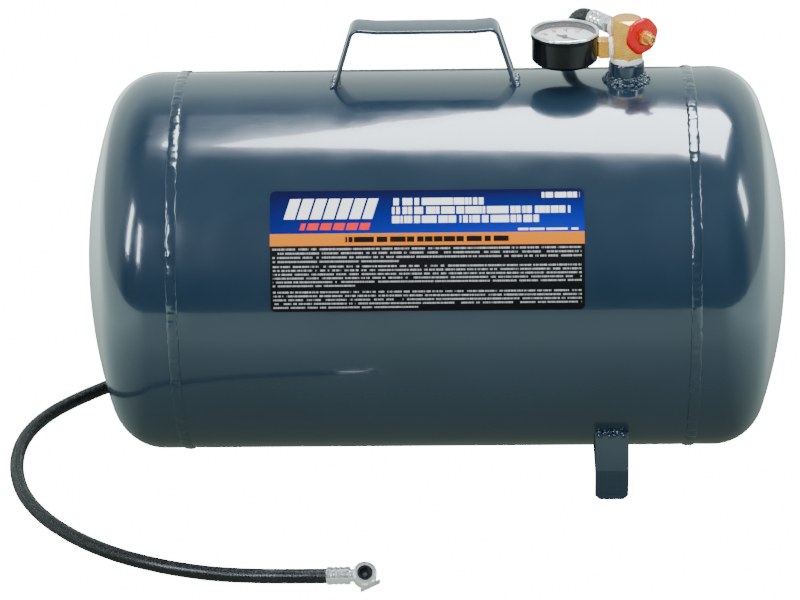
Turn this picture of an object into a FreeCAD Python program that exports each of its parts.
import FreeCAD, Part
import Sketcher
import math
import os
import re
import sys

# Portable air receiver tank, 10 US gallons.
# X runs along the tank, -Y is the front, +Z is up and the feet stand on Z = 0.

doc = FreeCAD.newDocument("air_receiver_tank")
sheet = doc.addObject("Spreadsheet::Sheet", "sizes")

SIZES = {
    # pressure vessel
    "tank_radius": 154.5, "tank_wall": 2.3, "axis_height": 163.0, "half_shell": 203.5,
    "head_flange": 20.0, "knuckle_radius": 41.0, "crown_radius": 389.5,
    "weld_gap": 2.0, "weld_cap": 9.0, "weld_rise": 1.0, "seam_bead": 4.0, "seam_sink": 2.9,
    # bung that carries the valve manifold
    "bung_place": 153.7, "bung_radius": 14.4, "bung_bore": 9.9, "bung_sunk": 7.0, "bung_rise": 16.0,
    "bung_weld": 18.5, "bung_weld_rise": 6.5,
    # carrying handle, a bent strap
    "strap_thick": 3.0, "handle_width": 28.0, "handle_place": -7.0, "handle_foot": 72.5,
    "handle_knee": 56.0, "handle_rise": 49.2, "handle_dip": 47.4, "handle_flat": 38.0, "toe_bead": 3.2,
    # feet
    "saddle_place": 140.0, "saddle_width": 27.0, "saddle_half": 117.5, "saddle_bulge": 121.5,
    "saddle_bend": 28.0, "saddle_top": 72.0, "saddle_hip": 110.5, "saddle_trim": 4.0,
    "rest_place": -160.0, "rest_length": 74.0, "rest_width": 28.0, "rest_flange": 15.0,
    # front label
    "label_length": 243.0, "label_thick": 0.25, "label_low": 8.6, "label_high": 43.8, "label_corner": 4.0,
    # manifold
    "body_apothem": 11.65, "body_low": 19.4, "body_high": 52.0, "body_turn": 6.0, "airway": 4.0,
    "port_radius": 6.6, "valve_height": 42.0, "outlet_height": 39.5, "outlet_port": 5.0,
    "gauge_port_height": 27.8, "relief_height": 26.4,
    "relief_port": 5.0, "valve_port": 5.5, "tape_radius": 8.1, "bung_tape": 12.1,
    # pressure gauge
    "gauge_reach": 49.5, "gauge_low": 18.0, "case_radius": 26.3, "case_wall": 1.3, "case_tall": 23.3,
    "bezel_radius": 27.4, "bezel_lip": 24.4, "bezel_tall": 4.7, "lens_thick": 1.5,
    "dial_radius": 24.7, "dial_thick": 0.5, "dial_height": 18.8, "socket_side": 13.9,
    "socket_inner": 9.0, "post_length": 8.5, "pinion_radius": 1.9, "pinion_pivot": 0.8,
    "plate_thick": 1.0, "plate_low": 6.6, "plate_high": 13.0, "tube_ring": 18.5, "tube_radius": 2.3,
    "pointer_length": 18.5, "pointer_tail": 8.0, "pointer_thick": 0.4, "pointer_hub": 2.1,
    # shut-off valve and filling inlet
    "bonnet_flats": 14.0, "bonnet_reach": 15.6, "knob_inner": 16.6, "knob_radius": 16.0,
    "knob_thick": 5.6, "knob_round": 6.0, "spindle_radius": 4.2, "spindle_bore": 2.3,
    "inlet_radius": 3.9, "inlet_end": 32.8,
    "knob_nut_flats": 10.4, "knob_nut_thick": 3.6, "nut_end": 25.8, "pin_radius": 0.8,
    # safety relief valve
    "relief_flats": 11.0, "relief_reach": 27.0, "relief_bore": 3.6, "relief_stem": 1.3,
    "relief_end": 36.0, "ring_radius": 6.5, "ring_wire": 0.75,
    # hose, its fittings and the tyre chuck
    "hose_radius": 5.75, "outlet_reach": 22.0, "outlet_flats": 14.0, "ferrule_end": 44.5,
    "ferrule_radius": 7.0, "ferrule_length": 18.0, "chuck_radius": 9.2, "chuck_length": 17.0,
    "mouth_radius": 5.9, "stem_hole": 4.2, "seal_hole": 1.9,
}
for row, (alias, value) in enumerate(SIZES.items(), 1):
    sheet.set(f"A{row}", alias)
    sheet.set(f"B{row}", str(value))
    sheet.setAlias(f"B{row}", alias)
doc.recompute()


class Sizes:
    """The sheet's cells as numbers, for places and for routes."""

    def __getattr__(self, alias):
        return getattr(sheet, alias)


size = Sizes()
nodes = {}


def bind(item, field, formula):
    """Binds a property to a formula, whose size names are the sheet's aliases."""
    named = re.sub(r"[a-z][a-z_]+", lambda w: "sizes." + w[0] if w[0] in SIZES else w[0], str(formula))
    item.setExpression(field, named)


def place(x=0.0, y=0.0, z=0.0, axis=(0, 0, 1), angle=0.0):
    return FreeCAD.Placement(FreeCAD.Vector(x, y, z), FreeCAD.Rotation(FreeCAD.Vector(*axis), angle))


def solid(kind, name, where=None, **fields):
    """A Part primitive whose fields are formulas."""
    item = doc.addObject("Part::" + kind, name)
    for field, formula in fields.items():
        bind(item, field, formula)
    if where:
        item.Placement = where
    return item


def hexagon(name, flats, height, where=None):
    """A hexagonal bar, given by its size across the flats."""
    bar = doc.addObject("Part::Prism", name)
    bar.Polygon = 6
    bind(bar, "Circumradius", f"({flats}) / (2 * cos(30))")
    bind(bar, "Height", height)
    if where:
        bar.Placement = where
    return bar


def cut(name, base, tool):
    item = doc.addObject("Part::Cut", name)
    item.Base = base
    item.Tool = tool
    return item


def common(name, base, tool):
    item = doc.addObject("Part::Common", name)
    item.Base = base
    item.Tool = tool
    return item


def fuse(name, *shapes):
    item = doc.addObject("Part::MultiFuse", name)
    item.Shapes = list(shapes)
    return item


def node(name, item, where=None):
    """Names a finished sub-part, and puts it in its place."""
    item.Label = name
    if where:
        item.Placement = where
    nodes[name] = item
    return item


def outline(body, plane, corners):
    """A closed sketch whose corners are pairs of formulas from the body's origin."""
    sketch = body.newObject("Sketcher::SketchObject", "outline")
    sketch.AttachmentSupport = [(next(f for f in body.Origin.OriginFeatures if f.Role == plane), "")]
    sketch.MapMode = "FlatFace"
    count = len(corners)
    turns = [2 * math.pi * corner / count for corner in range(count + 1)]
    spots = [FreeCAD.Vector(20 * math.cos(turn), 20 * math.sin(turn), 0) for turn in turns]
    for corner in range(count):
        sketch.addGeometry(Part.LineSegment(spots[corner], spots[corner + 1]))
    for corner in range(count):
        sketch.addConstraint(Sketcher.Constraint("Coincident", corner, 2, (corner + 1) % count, 1))
    for corner, pair in enumerate(corners):
        for kind, formula in zip(("DistanceX", "DistanceY"), pair):
            index = sketch.addConstraint(Sketcher.Constraint(kind, -1, 1, corner, 1, 5.0))
            sketch.renameConstraint(index, f"{kind[-1].lower()}{corner}")
            bind(sketch, f"Constraints.{kind[-1].lower()}{corner}", formula)
    return sketch


def turned(name, corners, where=None):
    """A turned piece: corners are (radius, height) formulas, turned about the local Z axis."""
    body = doc.addObject("PartDesign::Body", name)
    sketch = outline(body, "XZ_Plane", corners)
    turn = body.newObject("PartDesign::Revolution", "turn")
    turn.Profile = sketch
    turn.ReferenceAxis = (sketch, ["V_Axis"])
    turn.Angle = 360
    if where:
        body.Placement = where
    return body


def padded(name, plane, corners, length, where=None):
    """A plate or bar: corners are (first, second) formulas on a plane, padded both ways."""
    body = doc.addObject("PartDesign::Body", name)
    sketch = outline(body, plane, corners)
    pad = body.newObject("PartDesign::Pad", "pad")
    pad.Profile = sketch
    bind(pad, "Length", length)
    pad.Midplane = True
    if where:
        body.Placement = where
    return body


def tube(name, outer, inner, low, high, where=None):
    """A plain ring or sleeve."""
    return turned(name, [(inner, low), (outer, low), (outer, high), (inner, high)], where)


def spring(name, radius, wire, height, turns, where):
    """A helical spring that stands on the placement's local Z axis."""
    path = solid("Helix", f"{name}_path", None, Radius=radius, Pitch=f"({height}) / {turns}", Height=height)
    section = solid("Circle", f"{name}_section", place(radius, 0, 0, (1, 0, 0), 90), Radius=wire)
    coil = doc.addObject("Part::Sweep", name)
    coil.Sections = [section]
    coil.Spine = (path, ["Edge1"])
    coil.Solid = True
    coil.Frenet = True
    coil.Placement = where
    return coil


tankTop = size.axis_height + size.tank_radius
alongX = FreeCAD.Rotation(FreeCAD.Vector(0, 1, 0), 90)


def onAxis(x):
    """A placement on the tank's axis, with local Z along the tank."""
    return FreeCAD.Placement(FreeCAD.Vector(x, 0, size.axis_height), alongX)


def tankBlank(name):
    """The tank's outer surface, as a tool for what is welded to it."""
    return solid("Cylinder", name, onAxis(-size.half_shell), Radius="tank_radius", Height="2 * half_shell")


# ---- pressure vessel ----

def makeShell():
    shell = tube("shell_blank", "tank_radius", "tank_radius - tank_wall",
                 "weld_gap / 2", "2 * half_shell - weld_gap / 2", onAxis(-size.half_shell))
    hole = solid("Cylinder", "shell_hole", place(size.bung_place, 0, size.axis_height),
                 Radius="bung_radius", Height="tank_radius + bung_rise")
    node("tank_shell", cut("tank_shell", shell, hole))


def makeHead(name, side):
    """A torispherical head: straight flange, knuckle arc and crown arc, turned about the axis."""
    body = doc.addObject("PartDesign::Body", name)
    sketch = body.newObject("Sketcher::SketchObject", "section")
    sketch.AttachmentSupport = [(next(f for f in body.Origin.OriginFeatures if f.Role == "XZ_Plane"), "")]
    sketch.MapMode = "FlatFace"
    rim, knuckle, crown, wall = size.tank_radius, size.knuckle_radius, size.crown_radius, size.tank_wall
    start, flange = size.weld_gap / 2, size.head_flange
    drop = math.sqrt((crown - knuckle) ** 2 - (rim - knuckle) ** 2)
    knuckleMid = FreeCAD.Vector(rim - knuckle, flange, 0)
    crownMid = FreeCAD.Vector(0, flange - drop, 0)
    lean = math.atan2(drop, rim - knuckle)
    axis = FreeCAD.Vector(0, 0, 1)

    def arc(middle, radius, low, high):
        return Part.ArcOfCircle(Part.Circle(middle, axis, radius), low, high)

    def line(first, second):
        return Part.LineSegment(FreeCAD.Vector(*first, 0), FreeCAD.Vector(*second, 0))

    top = flange - drop + crown
    sketch.addGeometry(line((rim, start), (rim, flange)))
    sketch.addGeometry(arc(knuckleMid, knuckle, 0, lean))
    sketch.addGeometry(arc(crownMid, crown, lean, math.pi / 2))
    sketch.addGeometry(line((0, top), (0, top - wall)))
    sketch.addGeometry(arc(crownMid, crown - wall, lean, math.pi / 2))
    sketch.addGeometry(arc(knuckleMid, knuckle - wall, 0, lean))
    sketch.addGeometry(line((rim - wall, flange), (rim - wall, start)))
    sketch.addGeometry(line((rim - wall, start), (rim, start)))
    for first, firstEnd, second, secondEnd in ((0, 2, 1, 1), (1, 2, 2, 1), (4, 1, 5, 2), (5, 1, 6, 1)):
        sketch.addConstraint(Sketcher.Constraint("Tangent", first, firstEnd, second, secondEnd))
    for first, firstEnd, second, secondEnd in ((2, 2, 3, 1), (3, 2, 4, 2), (6, 2, 7, 1), (7, 2, 0, 1),
                                               (1, 3, 5, 3), (2, 3, 4, 3)):
        sketch.addConstraint(Sketcher.Constraint("Coincident", first, firstEnd, second, secondEnd))
    sketch.addConstraint(Sketcher.Constraint("Vertical", 0))
    sketch.addConstraint(Sketcher.Constraint("Horizontal", 7))
    sketch.addConstraint(Sketcher.Constraint("PointOnObject", 2, 3, -2))
    sketch.addConstraint(Sketcher.Constraint("PointOnObject", 3, 1, -2))
    sketch.addConstraint(Sketcher.Constraint("PointOnObject", 3, 2, -2))
    drives = (("DistanceX", (-1, 1, 0, 1), rim, "tank_radius"),
              ("DistanceY", (-1, 1, 0, 1), start, "weld_gap / 2"),
              ("DistanceY", (-1, 1, 0, 2), flange, "head_flange"),
              ("Radius", (1,), knuckle, "knuckle_radius"),
              ("Radius", (2,), crown, "crown_radius"),
              ("DistanceX", (6, 2, 0, 1), wall, "tank_wall"))
    for order, (kind, ends, value, formula) in enumerate(drives):
        index = sketch.addConstraint(Sketcher.Constraint(kind, *ends, value))
        sketch.renameConstraint(index, f"drive{order}")
        bind(sketch, f"Constraints.drive{order}", formula)
    turn = body.newObject("PartDesign::Revolution", "turn")
    turn.Profile = sketch
    turn.ReferenceAxis = (sketch, ["V_Axis"])
    turn.Angle = 360
    tilt = FreeCAD.Rotation(FreeCAD.Vector(0, 1, 0), 90 * side)
    node(name, body, FreeCAD.Placement(FreeCAD.Vector(side * size.half_shell, 0, size.axis_height), tilt))


def makeSeamWelds():
    """A ring bead at each head, with its root between the two plates, and the shell's own seam."""
    for name, side in (("left_seam_weld", -1), ("right_seam_weld", 1)):
        middle, outer = "weld_cap / 2", "tank_radius"
        corners = [(f"{outer} - tank_wall", f"{middle} - weld_gap / 2"), (outer, f"{middle} - weld_gap / 2"),
                   (outer, "0"), (f"{outer} + weld_rise", "weld_cap / 4"),
                   (f"{outer} + weld_rise", "3 * weld_cap / 4"), (outer, "weld_cap"),
                   (outer, f"{middle} + weld_gap / 2"), (f"{outer} - tank_wall", f"{middle} + weld_gap / 2")]
        node(name, turned(name, corners, onAxis(side * size.half_shell - size.weld_cap / 2)))
    seamAngle = math.radians(30)
    reach = size.tank_radius - size.seam_sink
    start = size.half_shell - size.weld_cap / 2
    bead = solid("Cylinder", "shell_seam_bead",
                 FreeCAD.Placement(FreeCAD.Vector(-start, reach * math.cos(seamAngle),
                                                  size.axis_height - reach * math.sin(seamAngle)), alongX),
                 Radius="seam_bead", Height="2 * half_shell - weld_cap")
    node("shell_seam_weld", cut("shell_seam_weld", bead, tankBlank("shell_seam_blank")))


def makeBung():
    low = place(size.bung_place, 0, tankTop - size.bung_sunk)
    high = "bung_sunk + bung_rise"
    corners = [("bung_bore", "0"), ("bung_radius", "0"), ("bung_radius", f"{high} - 1"),
               ("bung_radius - 1", high), ("bung_bore", high)]
    node("bung", turned("bung", corners, low))
    collar = turned("bung_collar", [("bung_radius", "0"), ("bung_weld", "0"), ("bung_weld", "bung_sunk"),
                                    ("bung_radius + 1.2", "bung_sunk + bung_weld_rise"),
                                    ("bung_radius", "bung_sunk + bung_weld_rise")], low)
    node("bung_weld", cut("bung_weld", collar, tankBlank("bung_weld_blank")))


# ---- handle and feet ----

def makeHandle():
    """A strap on edge view: two splayed legs, tight knees and a grip that sags a little."""
    thick = "strap_thick"
    knee, foot, flat = "handle_knee", "handle_foot", "handle_flat"
    top, dip = "handle_rise", "handle_dip"
    corners = [(f"-{foot} - 1.5", "-3"), (f"-{knee} - 1.2", f"{top} - 2.5"), (f"-{knee} + 2.5", top),
               (f"-{flat}", dip), (flat, dip), (f"{knee} - 2.5", top), (f"{knee} + 1.2", f"{top} - 2.5"),
               (f"{foot} + 1.5", "-3"), (f"{foot} - 1.5", "-3"), (f"{knee} - 1.8", f"{top} - {thick} - 1"),
               (f"{knee} - 4", f"{top} - {thick}"), (flat, f"{dip} - {thick}"),
               (f"-{flat}", f"{dip} - {thick}"), (f"-{knee} + 4", f"{top} - {thick}"),
               (f"-{knee} + 1.8", f"{top} - {thick} - 1"), (f"-{foot} + 1.5", "-3")]
    strap = padded("handle_strap", "XZ_Plane", corners, "handle_width", place(size.handle_place, 0, tankTop))
    node("handle", cut("handle", strap, tankBlank("handle_blank")))
    toes = []
    for side in (-1, 1):
        for face in (-1, 1):
            x = size.handle_place + side * size.handle_foot + face * 2.6
            spot = place(x, size.handle_width / 2 - 2, tankTop, (1, 0, 0), 90)
            toes.append(solid("Cylinder", "toe_bead", spot, Radius="toe_bead", Height="handle_width - 4"))
    beads = fuse("handle_beads", *toes)
    clear = cut("handle_beads_clear", beads, tankBlank("handle_weld_blank"))
    keep = padded("handle_strap_copy", "XZ_Plane", corners, "handle_width",
                  place(size.handle_place, 0, tankTop))
    node("handle_welds", cut("handle_welds", clear, keep))


def saddleBlank(name):
    """The strap that crosses under the tank: hips, bulge at the bend, and a flat run on the floor."""
    half, bulge, hip, thick = "saddle_half", "saddle_bulge", "saddle_hip", "strap_thick"
    bend, top = "saddle_bend", "saddle_top"
    outer = [(f"-{hip} - {thick}", top), (f"-{bulge}", bend), (f"-{half}", "0"),
             (half, "0"), (bulge, bend), (f"{hip} + {thick}", top)]
    inner = [(hip, top), (f"{bulge} - {thick}", bend), (f"{half} - {thick}", thick),
             (f"-{half} + {thick}", thick), (f"-{bulge} + {thick}", bend), (f"-{hip}", top)]
    return padded(name, "YZ_Plane", outer + inner, "saddle_width", place(size.saddle_place, 0, 0))


def makeSaddle():
    strap = cut("saddle_strap", saddleBlank("saddle_blank"), tankBlank("saddle_tank"))
    trims = []
    for side in (-1, 1):
        x = size.saddle_place + side * size.saddle_width / 2
        trims.append(solid("Box", "saddle_corner", place(x, -150, -size.saddle_trim, (0, 1, 0), -45),
                           Length="saddle_trim * sqrt(2)", Width="300", Height="saddle_trim * sqrt(2)"))
    node("saddle_foot", cut("saddle_foot", strap, fuse("saddle_corners", *trims)))


def makeSaddleWelds():
    """A bead across the top of each leg, where it meets the tank."""
    beads = []
    rise = 60.5
    reach = math.sqrt(size.tank_radius ** 2 - (size.axis_height - rise) ** 2) + 0.6
    for side in (-1, 1):
        spot = FreeCAD.Placement(FreeCAD.Vector(size.saddle_place - 11, side * reach, rise), alongX)
        beads.append(solid("Cylinder", "saddle_bead", spot, Radius="toe_bead", Height="22"))
    clear = cut("saddle_beads_clear", fuse("saddle_beads", *beads), tankBlank("saddle_weld_blank"))
    node("saddle_welds", cut("saddle_welds", clear, saddleBlank("saddle_copy")))


def restBlank(name):
    """The small hat strap under the other end, lengthwise on the belly line."""
    half, flange, thick = "rest_length / 2", "rest_flange", "strap_thick"
    high = "axis_height - tank_radius - strap_thick + 0.65"
    corners = [(f"-{half}", "0"), (f"-{half} + {flange}", "0"), (f"-{half} + {flange} + 3", high),
               (f"{half} - {flange} - 3", high), (f"{half} - {flange}", "0"), (half, "0"),
               (half, thick), (f"{half} - {flange} + 2.4", thick),
               (f"{half} - {flange} - 1", f"{high} + {thick}"),
               (f"-{half} + {flange} + 1", f"{high} + {thick}"),
               (f"-{half} + {flange} - 2.4", thick), (f"-{half}", thick)]
    return padded(name, "XZ_Plane", corners, "rest_width", place(size.rest_place, 0, 0))


def makeRest():
    node("rest_foot", cut("rest_foot", restBlank("rest_blank"), tankBlank("rest_tank")))
    beads = []
    for side in (-1, 1):
        y = side * size.rest_width / 2
        beads.append(solid("Cylinder", "rest_bead",
                           FreeCAD.Placement(FreeCAD.Vector(size.rest_place - 14, y, 8.6), alongX),
                           Radius="toe_bead - 0.8", Height="28"))
    clear = cut("rest_beads_clear", fuse("rest_beads", *beads), tankBlank("rest_weld_blank"))
    node("rest_welds", cut("rest_welds", clear, restBlank("rest_copy")))


# ---- label ----

def makeLabel():
    sheetRing = tube("label_ring", "tank_radius + label_thick", "tank_radius", "0", "label_length",
                     onAxis(-size.label_length / 2 - 4.5))
    low, high = math.radians(size.label_low), math.radians(size.label_high)
    far = 2 * size.tank_radius
    spots = [(0, 0), (-far * math.cos(low), far * math.sin(low)),
             (-far * math.cos(high), far * math.sin(high))]
    corners = [(f"{y:.4f}", f"{z:.4f}") for y, z in spots]
    wedge = padded("label_wedge", "YZ_Plane", corners, "label_length + 40", place(-4.5, 0, size.axis_height))
    square = common("label_square", sheetRing, wedge)
    doc.recompute()
    rounded = doc.addObject("Part::Fillet", "front_label")
    rounded.Base = square
    corners = [number for number, edge in enumerate(square.Shape.Edges, 1) if edge.Length < 1]
    rounded.Edges = [(number, size.label_corner, size.label_corner) for number in corners]
    node("front_label", rounded)


# ---- valve manifold ----

BODY_TURNS = {"gauge": 180, "outlet": 120, "relief": 60, "valve": -60}


def facing(port, height, reach=0.0):
    """A placement at a port's height, with local Z pointing out through that port."""
    turn = math.radians(BODY_TURNS[port] + size.body_turn)
    spot = FreeCAD.Vector(size.bung_place + reach * math.cos(turn), reach * math.sin(turn), tankTop + height)
    spin = FreeCAD.Rotation(FreeCAD.Vector(0, 0, 1), math.degrees(turn))
    return FreeCAD.Placement(spot, spin.multiply(alongX))


def makeManifold():
    upright = place(size.bung_place, 0, tankTop, (0, 0, 1), size.body_turn)
    tall = "body_high - body_low"
    bar = hexagon("manifold_bar", "2 * body_apothem", tall,
                  place(size.bung_place, 0, tankTop + size.body_low, (0, 0, 1), size.body_turn + 30))
    turnedTop = turned("manifold_turning", [("0", "body_low"), ("body_apothem * 1.3", "body_low"),
                                            ("body_apothem * 1.3", "body_high - 3"),
                                            ("body_apothem - 1.2", "body_high"), ("0", "body_high")], upright)
    chamfered = common("manifold_hex", bar, turnedTop)
    thread = turned("manifold_thread", [("airway", "3"), ("bung_bore - 0.6", "3"), ("bung_bore", "4"),
                                        ("bung_bore", "body_low"), ("airway", "body_low")], upright)
    ports = [solid("Cylinder", "manifold_airway", place(size.bung_place, 0, tankTop + size.body_low),
                   Radius="airway", Height="body_high - body_low - 5")]
    for port, radius, height in (("gauge", "port_radius", "gauge_port_height"),
                                 ("outlet", "outlet_port", "outlet_height"),
                                 ("relief", "relief_port", "relief_height"),
                                 ("valve", "valve_port", "valve_height")):
        ports.append(solid("Cylinder", f"manifold_{port}", facing(port, getattr(size, height), 0),
                           Radius=radius, Height="2 * body_apothem"))
    drilled = cut("manifold_drilled", chamfered, fuse("manifold_ports", *ports))
    node("manifold_body", fuse("manifold_body", drilled, thread))


def makeTapes():
    """White thread tape that shows at three joints."""
    node("bung_tape", tube("bung_tape", "bung_tape", "bung_bore", "bung_rise", "body_low",
                           place(size.bung_place, 0, tankTop)))
    node("gauge_tape", tube("gauge_tape", "tape_radius", "port_radius", "body_apothem", "body_apothem + 3.5",
                            facing("gauge", size.gauge_port_height)))
    node("outlet_tape", tube("outlet_tape", "tape_radius", "outlet_port", "body_apothem", "body_apothem + 3",
                             facing("outlet", size.outlet_height)))


# ---- pressure gauge ----

def gaugeSpot(height=0.0, spin=0.0):
    """The dial's centre; local X points to the manifold."""
    turn = math.radians(BODY_TURNS["gauge"] + size.body_turn)
    return place(size.bung_place + size.gauge_reach * math.cos(turn), size.gauge_reach * math.sin(turn),
                 tankTop + size.gauge_low + height, (0, 0, 1), size.body_turn + spin)


def makeGaugeHousing():
    inner = "case_radius - case_wall"
    cup = turned("gauge_cup", [("0", "0"), ("case_radius - 2.5", "0"), ("case_radius", "2.5"),
                               ("case_radius", "case_tall"), (inner, "case_tall"), (inner, "3"),
                               (f"{inner} - 1.6", "case_wall"), ("0", "case_wall")], gaugeSpot())
    window = solid("Box", "gauge_window",
                   gaugeSpot(size.gauge_port_height - size.gauge_low - size.socket_inner / 2)
                   * place(0, -size.socket_inner / 2, 0),
                   Length="case_radius + 5", Width="socket_inner", Height="socket_inner")
    node("gauge_case", cut("gauge_case", cup, window))
    node("gauge_lens", turned("gauge_lens", [("0", "0"), ("case_radius", "0"), ("case_radius", "lens_thick"),
                                             ("0", "lens_thick")], gaugeSpot(size.case_tall)))
    low, lip = "case_tall - 2", "case_tall + lens_thick"
    rim = "case_tall - 2 + bezel_tall"
    node("gauge_bezel", turned("gauge_bezel", [("case_radius", low), ("bezel_radius", low),
                                               ("bezel_radius", f"{rim} - 0.7"), ("bezel_radius - 0.7", rim),
                                               ("bezel_lip + 1", rim), ("bezel_lip", lip),
                                               ("case_radius", lip)], gaugeSpot()))
    node("gauge_dial", tube("gauge_dial", "dial_radius", "pinion_radius + 0.4", "dial_height",
                            "dial_height + dial_thick", gaugeSpot()))


def makeGaugeSocket():
    """The brass socket: square block, male thread and the inner post for tube and movement."""
    mid = size.gauge_port_height
    blockStart, blockEnd = size.body_apothem + 3.5, size.gauge_reach - size.case_radius
    where = facing("gauge", mid, blockStart)
    block = solid("Box", "socket_block", where * place(-size.socket_side / 2, -size.socket_side / 2, 0),
                  Length="socket_side", Width="socket_side",
                  Height="gauge_reach - case_radius - body_apothem - 3.5")
    thread = tube("socket_thread", "port_radius", "1.6", "5", "body_apothem + 3.5", facing("gauge", mid))
    where = facing("gauge", mid, blockEnd)
    post = solid("Box", "socket_post", where * place(-size.socket_inner / 2, -size.socket_inner / 2, -0.01),
                 Length="socket_inner", Width="socket_inner", Height="post_length")
    bore = solid("Cylinder", "socket_bore", facing("gauge", mid, blockStart - 1), Radius="1.6", Height="15")
    node("gauge_socket", cut("gauge_socket", fuse("socket_parts", block, thread, post), bore))
    ringHeight = size.gauge_port_height - size.gauge_low
    ring = solid("Torus", "bourdon_ring", gaugeSpot(ringHeight, 12),
                 Radius1="tube_ring", Radius2="tube_radius", Angle1="-180", Angle2="180", Angle3="250")
    postStart = size.case_radius - size.post_length
    keep = solid("Box", "bourdon_clear",
                 gaugeSpot(ringHeight - 6) * place(postStart, -size.socket_inner / 2, 0),
                 Length="10", Width="socket_inner", Height="12")
    node("bourdon_tube", cut("bourdon_tube", ring, keep))


SECTOR_PLACE = -8.6


def makeMovement():
    """Two plates on pillars that carry the pinion and the toothed sector."""
    plates = []
    for level in ("plate_low", "plate_high"):
        plates.append(solid("Box", "movement_plate", gaugeSpot(getattr(size, level)) * place(-14, -7, 0),
                            Length="19", Width="14", Height="plate_thick"))
    for x, y in ((-12, -5.5), (-12, 5.5), (3.6, -5.5), (3.6, 5.5)):
        plates.append(solid("Cylinder", "movement_pillar", gaugeSpot(size.case_wall) * place(x, y, 0),
                            Radius="1.1", Height="plate_high - case_wall"))
    frame = fuse("movement_blank", *plates)
    bores = [solid("Cylinder", "pinion_bearing", gaugeSpot(3), Radius="pinion_pivot + 0.05", Height="20"),
             solid("Cylinder", "sector_bearing", gaugeSpot(3) * place(SECTOR_PLACE, 0, 0),
                   Radius="pinion_pivot + 0.05", Height="20")]
    node("gauge_movement", cut("gauge_movement", frame, fuse("movement_bores", *bores)))
    arbor = solid("Cylinder", "pinion_arbor", gaugeSpot(size.plate_low + 0.1), Radius="pinion_pivot",
                  Height="dial_height + 1.15 - plate_low")
    gear = solid("Cylinder", "pinion_gear", gaugeSpot(9.6), Radius="pinion_radius", Height="1.8")
    node("gauge_pinion", fuse("gauge_pinion", arbor, gear))


def makeSector():
    """The sector turns about its own arbor; its pitch arc runs just clear of the pinion."""
    where = gaugeSpot(10) * place(SECTOR_PLACE, 0, 0)
    reach = -SECTOR_PLACE - size.pinion_radius - 0.35
    wedge = solid("Cylinder", "sector_wedge", where * place(0, 0, 0, (0, 0, 1), -92), Radius=f"{reach:.3f}",
                  Height="0.9", Angle="98")
    hub = solid("Cylinder", "sector_hub", where * place(0, 0, -0.4), Radius="1.8", Height="1.7")
    arbor = solid("Cylinder", "sector_arbor", gaugeSpot(size.plate_low + 0.1) * place(SECTOR_PLACE, 0, 0),
                  Radius="pinion_pivot", Height="plate_high + plate_thick - plate_low - 0.2")
    node("gauge_sector", fuse("gauge_sector", wedge, hub, arbor))
    link = solid("Box", "gauge_link", gaugeSpot(12.15) * place(-2.6, -18.8, 0, (0, 0, 1), 118),
                 Length="14.5", Width="1.2", Height="0.5")
    node("gauge_link", link)


def makePointer():
    """Tapered pointer at its zero, towards the lower left of the dial as it is read."""
    where = gaugeSpot(size.dial_height + 1.25, -45)
    blade = padded("pointer_blade", "XY_Plane", [("-pointer_tail", "-1.1"), ("pointer_length", "-0.3"),
                                                 ("pointer_length", "0.3"), ("-pointer_tail", "1.1")],
                   "pointer_thick", where * place(0, 0, size.pointer_thick / 2))
    hub = solid("Cylinder", "pointer_hub", where, Radius="pointer_hub", Height="1.4")
    node("gauge_pointer", fuse("gauge_pointer", blade, hub))


# ---- shut-off valve with the filling inlet ----

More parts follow.
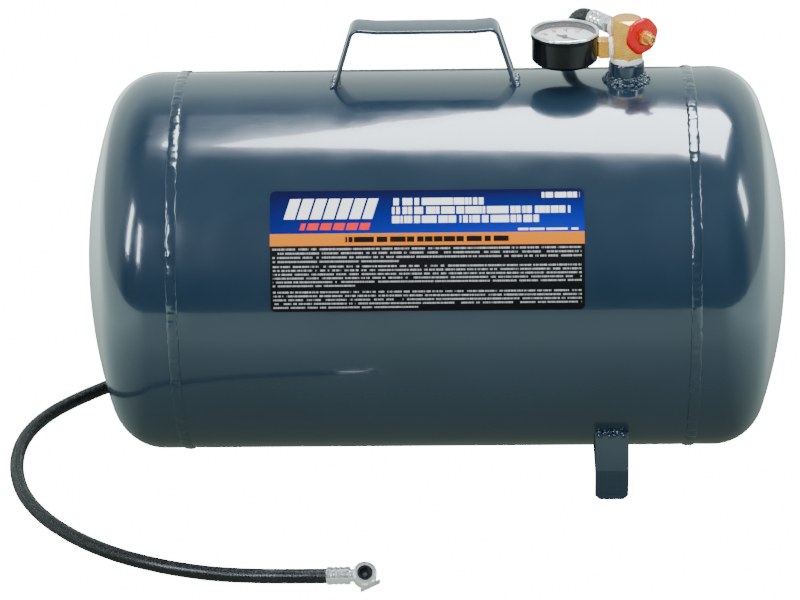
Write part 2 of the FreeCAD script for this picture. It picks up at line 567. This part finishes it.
def makeValve():
    mid = size.valve_height
    axis = facing("valve", mid)
    nut = hexagon("bonnet_hex", "bonnet_flats", "bonnet_reach - body_apothem",
                  facing("valve", mid, size.body_apothem))
    plug = tube("bonnet_plug", "valve_port", "spindle_radius + 0.05", "6.5", "body_apothem", axis)
    way = solid("Cylinder", "bonnet_way", facing("valve", mid, size.body_apothem - 1),
                Radius="spindle_radius + 0.05", Height="10")
    node("valve_bonnet", fuse("valve_bonnet", plug, cut("bonnet_nut", nut, way)))
    corners = [("0.9", "2"), ("2.2", "2"), ("spindle_radius", "5"), ("spindle_radius", "nut_end"),
               ("inlet_radius - 0.5", "nut_end"), ("inlet_radius - 0.5", "nut_end + 0.3"),
               ("inlet_radius", "nut_end + 0.3"), ("inlet_radius", "inlet_end - 0.5"),
               ("inlet_radius - 0.5", "inlet_end"), ("spindle_bore", "inlet_end"),
               ("spindle_bore", "14"), ("0.9", "12")]
    node("valve_spindle", turned("valve_spindle", corners, axis))
    grip = doc.addObject("Part::Prism", "knob_prism")
    grip.Polygon = 6
    bind(grip, "Circumradius", "knob_radius")
    bind(grip, "Height", "knob_thick")
    grip.Placement = facing("valve", mid, size.knob_inner) * place(0, 0, 0, (0, 0, 1), 12)
    doc.recompute()
    rounded = doc.addObject("Part::Fillet", "knob_rounded")
    rounded.Base = grip
    tall = [number for number, edge in enumerate(grip.Shape.Edges, 1)
            if abs(edge.Length - size.knob_thick) < 1e-6]
    rounded.Edges = [(number, size.knob_round, size.knob_round) for number in tall]
    bore = solid("Cylinder", "knob_bore", facing("valve", mid, size.knob_inner - 1),
                 Radius="spindle_radius", Height="knob_thick + 2")
    node("valve_knob", cut("valve_knob", rounded, bore))
    front = size.knob_inner + size.knob_thick
    cap = hexagon("knob_nut_hex", "knob_nut_flats", "knob_nut_thick", facing("valve", mid, front))
    through = solid("Cylinder", "knob_nut_bore", facing("valve", mid, front - 1), Radius="spindle_radius",
                    Height="knob_nut_thick + 2")
    node("knob_nut", cut("knob_nut", cap, through))
    node("inlet_pin", turned("inlet_pin", [("0", "20"), ("1.9", "20"), ("1.9", "21.2"),
                                           ("pin_radius", "21.2"), ("pin_radius", "inlet_end - 0.6"),
                                           ("0", "inlet_end - 0.6")], axis))
    node("inlet_core", tube("inlet_core", "spindle_bore", "pin_radius + 0.1", "27.5", "30.5", axis))
    node("inlet_spring", spring("inlet_spring", 1.5, 0.2, 4.4, 5, facing("valve", mid, 21.5)))
    node("valve_seal", tube("valve_seal", "valve_port", "spindle_radius + 0.03", "5.2", "6.5", axis))
    node("valve_seat", tube("valve_seat", "valve_port", "1.3", "0.5", "1.9", axis))


# ---- safety relief valve ----

def makeRelief():
    mid = size.relief_height
    axis = facing("relief", mid)
    plug = tube("relief_plug", "relief_port", "relief_bore", "6.5", "body_apothem", axis)
    nut = hexagon("relief_hex", "relief_flats", "6", facing("relief", mid, size.body_apothem))
    sleeve = solid("Cylinder", "relief_sleeve", facing("relief", mid, size.body_apothem), Radius="4.9",
                   Height="relief_reach - body_apothem")
    way = solid("Cylinder", "relief_way", facing("relief", mid, size.body_apothem - 1), Radius="relief_bore",
                Height="relief_reach - body_apothem - 1")
    exitHole = solid("Cylinder", "relief_exit", facing("relief", mid, size.body_apothem + 5),
                     Radius="relief_stem + 0.08", Height="20")
    hollow = cut("relief_hollow", fuse("relief_outer", nut, sleeve), fuse("relief_ways", way, exitHole))
    node("relief_body", fuse("relief_body", plug, hollow))
    stem = turned("relief_rod", [("0", "8"), ("3.4", "8"), ("3.4", "10.5"), ("relief_stem", "10.5"),
                                 ("relief_stem", "relief_end - 5"), ("2", "relief_end - 4.2"),
                                 ("2", "relief_end"), ("0", "relief_end")], axis)
    eye = solid("Cylinder", "relief_eye",
                facing("relief", mid, size.relief_end - 2) * place(0, -4, 0, (1, 0, 0), -90),
                Radius="ring_wire + 0.5", Height="8")
    node("relief_stem", cut("relief_stem", stem, eye))
    node("relief_spring", spring("relief_spring", 2.6, 0.35, 9.5, 5, facing("relief", mid, 11)))
    hang = facing("relief", mid, size.relief_end - 2)
    ringSpot = FreeCAD.Placement(hang.Base - FreeCAD.Vector(0, 0, size.ring_radius), hang.Rotation)
    node("relief_ring", solid("Torus", "relief_ring", ringSpot, Radius1="ring_radius", Radius2="ring_wire"))


# ---- hose, fittings and tyre chuck ----

HOSE_ROUTE = ((127.53, 36.02, 357.0), (123.135, 42.069, 357.0), (118.0, 49.8, 354.2), (113.6, 58.2, 347.0),
              (110.5, 67.5, 335.5), (109.0, 79.0, 318.0), (107.5, 98.0, 297.0), (100.0, 130.0, 265.0),
              (82.0, 158.0, 224.0), (54.0, 174.5, 178.0), (24.0, 182.0, 132.0), (-4.0, 183.5, 90.0),
              (-34.0, 183.0, 52.0), (-74.0, 179.0, 22.0), (-122.0, 172.5, 8.0), (-172.0, 159.0, 5.9),
              (-218.0, 138.0, 5.9), (-259.0, 111.0, 5.9), (-299.0, 76.0, 5.9), (-334.0, 35.0, 5.9),
              (-351.0, -12.0, 5.9), (-350.5, -66.0, 5.9), (-335.0, -121.0, 5.9), (-303.0, -170.0, 5.9),
              (-255.0, -213.0, 6.0), (-196.0, -241.0, 6.6), (-139.0, -254.0, 8.3), (-83.0, -258.0, 11.3))
RADIUS_SHARE = 0.45


def tangentWire(points):
    """Straight runs joined by tangent arcs, each as large as its two runs allow."""
    edges, radii = [], []
    start = points[0]
    for before, corner, after in zip(points, points[1:], points[2:]):
        back, ahead = before - corner, after - corner
        runs = min(back.Length, ahead.Length)
        back.normalize()
        ahead.normalize()
        half = (math.pi - back.getAngle(ahead)) / 2
        reach = RADIUS_SHARE * runs
        radii.append(reach / math.tan(half))
        first, last = corner + back * reach, corner + ahead * reach
        inward = back + ahead
        inward.normalize()
        middle = corner + inward * (radii[-1] / math.cos(half) - radii[-1])
        edges.append(Part.LineSegment(start, first).toShape())
        edges.append(Part.Arc(first, middle, last).toShape())
        start = last
    edges.append(Part.LineSegment(start, points[-1]).toShape())
    return Part.Wire(edges), radii


def makeHose():
    """The free hose: from the outlet ferrule, over the back, down to the floor and round to the front."""
    points = [FreeCAD.Vector(*point) for point in HOSE_ROUTE]
    wire, radii = tangentWire(points)
    ring = Part.Wire(Part.makeCircle(size.hose_radius, points[0], points[1] - points[0]))
    hose = doc.addObject("Part::Feature", "hose")
    hose.Shape = wire.makePipeShell([ring], True, False)
    ratio = hose.Shape.Volume / (math.pi * size.hose_radius ** 2 * wire.Length)
    print(f"hose length {wire.Length:.0f} mm, volume ratio {ratio:.4f}, valid {hose.Shape.isValid()}")
    print("hose radii", [round(radius) for radius in radii])
    node("hose", hose)


def makeOutlet():
    mid = size.outlet_height
    axis = facing("outlet", mid)
    start = "(body_apothem + 3)"
    nut = hexagon("outlet_hex", "outlet_flats", f"outlet_reach - {start}",
                  facing("outlet", mid, size.body_apothem + 3))
    thread = tube("outlet_thread", "outlet_port", "2.4", "5", start, axis)
    way = solid("Cylinder", "outlet_way", facing("outlet", mid, size.body_apothem), Radius="2.4", Height="15")
    node("outlet_fitting", fuse("outlet_fitting", thread, cut("outlet_nut", nut, way)))
    node("outlet_ferrule", ferrule("outlet_ferrule", "outlet_reach", "ferrule_end - outlet_reach", axis))


def ferrule(name, low, long, where):
    """A crimped sleeve with three rolled grooves."""
    rim = "ferrule_radius"
    corners = [("2.4", low), (f"{rim} - 0.6", low), (rim, f"{low} + 0.6")]
    for groove in (0.28, 0.5, 0.72):
        for shift, depth in ((-0.07, 0), (-0.04, 0.5), (0.04, 0.5), (0.07, 0)):
            corners.append((f"{rim} - {depth}", f"{low} + ({long}) * {groove + shift:.2f}"))
    corners += [(rim, f"{low} + {long} - 0.6"), (f"{rim} - 0.6", f"{low} + {long}"),
                ("2.4", f"{low} + {long}")]
    return turned(name, corners, where)


CHUCK_TILT = 44


def chuckFrame():
    """Where the hose ends, with local Z along the hose, and the head's centre with Z out of its mouth."""
    last = FreeCAD.Vector(*HOSE_ROUTE[-1])
    ahead = last - FreeCAD.Vector(*HOSE_ROUTE[-2])
    ahead.normalize()
    hoseEnd = FreeCAD.Placement(last, FreeCAD.Rotation(FreeCAD.Vector(0, 0, 1), ahead))
    centre = last + ahead * (size.ferrule_length + size.chuck_radius + 2)
    tilt = math.radians(CHUCK_TILT)
    mouth = FreeCAD.Vector(0.06, -math.cos(tilt), math.sin(tilt))
    turn = FreeCAD.Rotation(FreeCAD.Vector(1, 0, 0), FreeCAD.Vector(0, 0, 1), mouth, "ZXY")
    head = FreeCAD.Placement(centre, turn)
    return hoseEnd, head


def makeChuck():
    hoseEnd, head = chuckFrame()
    node("chuck_ferrule", ferrule("chuck_ferrule", "0", "ferrule_length", hoseEnd))
    back, front = "0", "chuck_length"
    headBack = head * place(0, 0, -size.chuck_length / 2)
    shell = turned("chuck_barrel", [("0", back), ("chuck_radius - 2.5", back), ("chuck_radius", "2.5"),
                                    ("chuck_radius", f"{front} - 1.6"), ("chuck_radius - 1.6", front),
                                    ("mouth_radius", front), ("mouth_radius", "6"), ("0", "6")], headBack)
    neck = solid("Cylinder", "chuck_neck", hoseEnd * place(0, 0, size.ferrule_length), Radius="5",
                 Height="6")
    channel = solid("Cylinder", "chuck_channel", hoseEnd * place(0, 0, size.ferrule_length - 1), Radius="2",
                    Height="12")
    core = solid("Cylinder", "chuck_core", headBack * place(0, 0, 6), Radius="mouth_radius", Height="20")
    solidHead = cut("chuck_head", fuse("chuck_union", shell, neck), fuse("chuck_ways", core, channel))
    node("chuck_body", solidHead)
    node("chuck_seal", turned("chuck_seal", [("seal_hole", "10.5"), ("mouth_radius", "10.5"),
                                             ("mouth_radius", "chuck_length - 0.6"),
                                             ("stem_hole", "chuck_length - 0.6"), ("stem_hole", "12"),
                                             ("seal_hole", "12")], headBack))
    node("chuck_pin", turned("chuck_pin", [("0", "8.6"), ("4.6", "8.6"), ("4.6", "10.2"), ("1", "10.2"),
                                           ("1", "11.8"), ("0", "11.8")], headBack))
    node("chuck_spring", spring("chuck_spring", 3.2, 0.18, 1.0, 2, headBack * place(0, 0, 7.2)))
    return head


def makeChuckClip(head):
    """The spring clip that grips the valve stem, on the lower right of the head."""
    lean = head * place(0, 0, 0, (0, 0, 1), -64)
    plate = solid("Box", "clip_plate", lean * place(size.chuck_radius, -8.3, -2.5),
                  Length="1.3", Width="16.6", Height="10.5")
    slots = [solid("Box", "clip_slot", lean * place(size.chuck_radius - 1, y, 3.5), Length="4", Width="4.6",
                   Height="2.2") for y in (-6.2, 1.6)]
    node("chuck_clip", cut("chuck_clip", plate, fuse("clip_slots", *slots)))


makeShell()
makeHead("left_head", -1)
makeHead("right_head", 1)
makeSeamWelds()
makeBung()
makeHandle()
makeSaddle()
makeSaddleWelds()
makeRest()
makeLabel()
makeManifold()
makeTapes()
makeGaugeHousing()
makeGaugeSocket()
makeMovement()
makeSector()
makePointer()
makeValve()
makeRelief()
makeHose()
makeOutlet()
makeChuckClip(makeChuck())
doc.recompute()

failed = [item.Name for item in doc.Objects if {"Invalid", "Error"} & set(item.State)]
for name, item in nodes.items():
    if item.Shape.isNull() or not item.Shape.isValid() or not item.Shape.Solids:
        failed.append(name)
if failed:
    sys.exit(f"failed: {failed}")

inside = math.pi * (size.tank_radius - size.tank_wall) ** 2 * 2 * (size.half_shell + size.head_flange)
print(f"straight part holds {inside / 1e6:.2f} litres")
os.makedirs("parts", exist_ok=True)
for name, item in nodes.items():
    item.Shape.exportStep(f"parts/{name}.step")
    print(f"{name:18s} {len(item.Shape.Solids)} solids {item.Shape.Volume / 1000:9.3f} cm3")
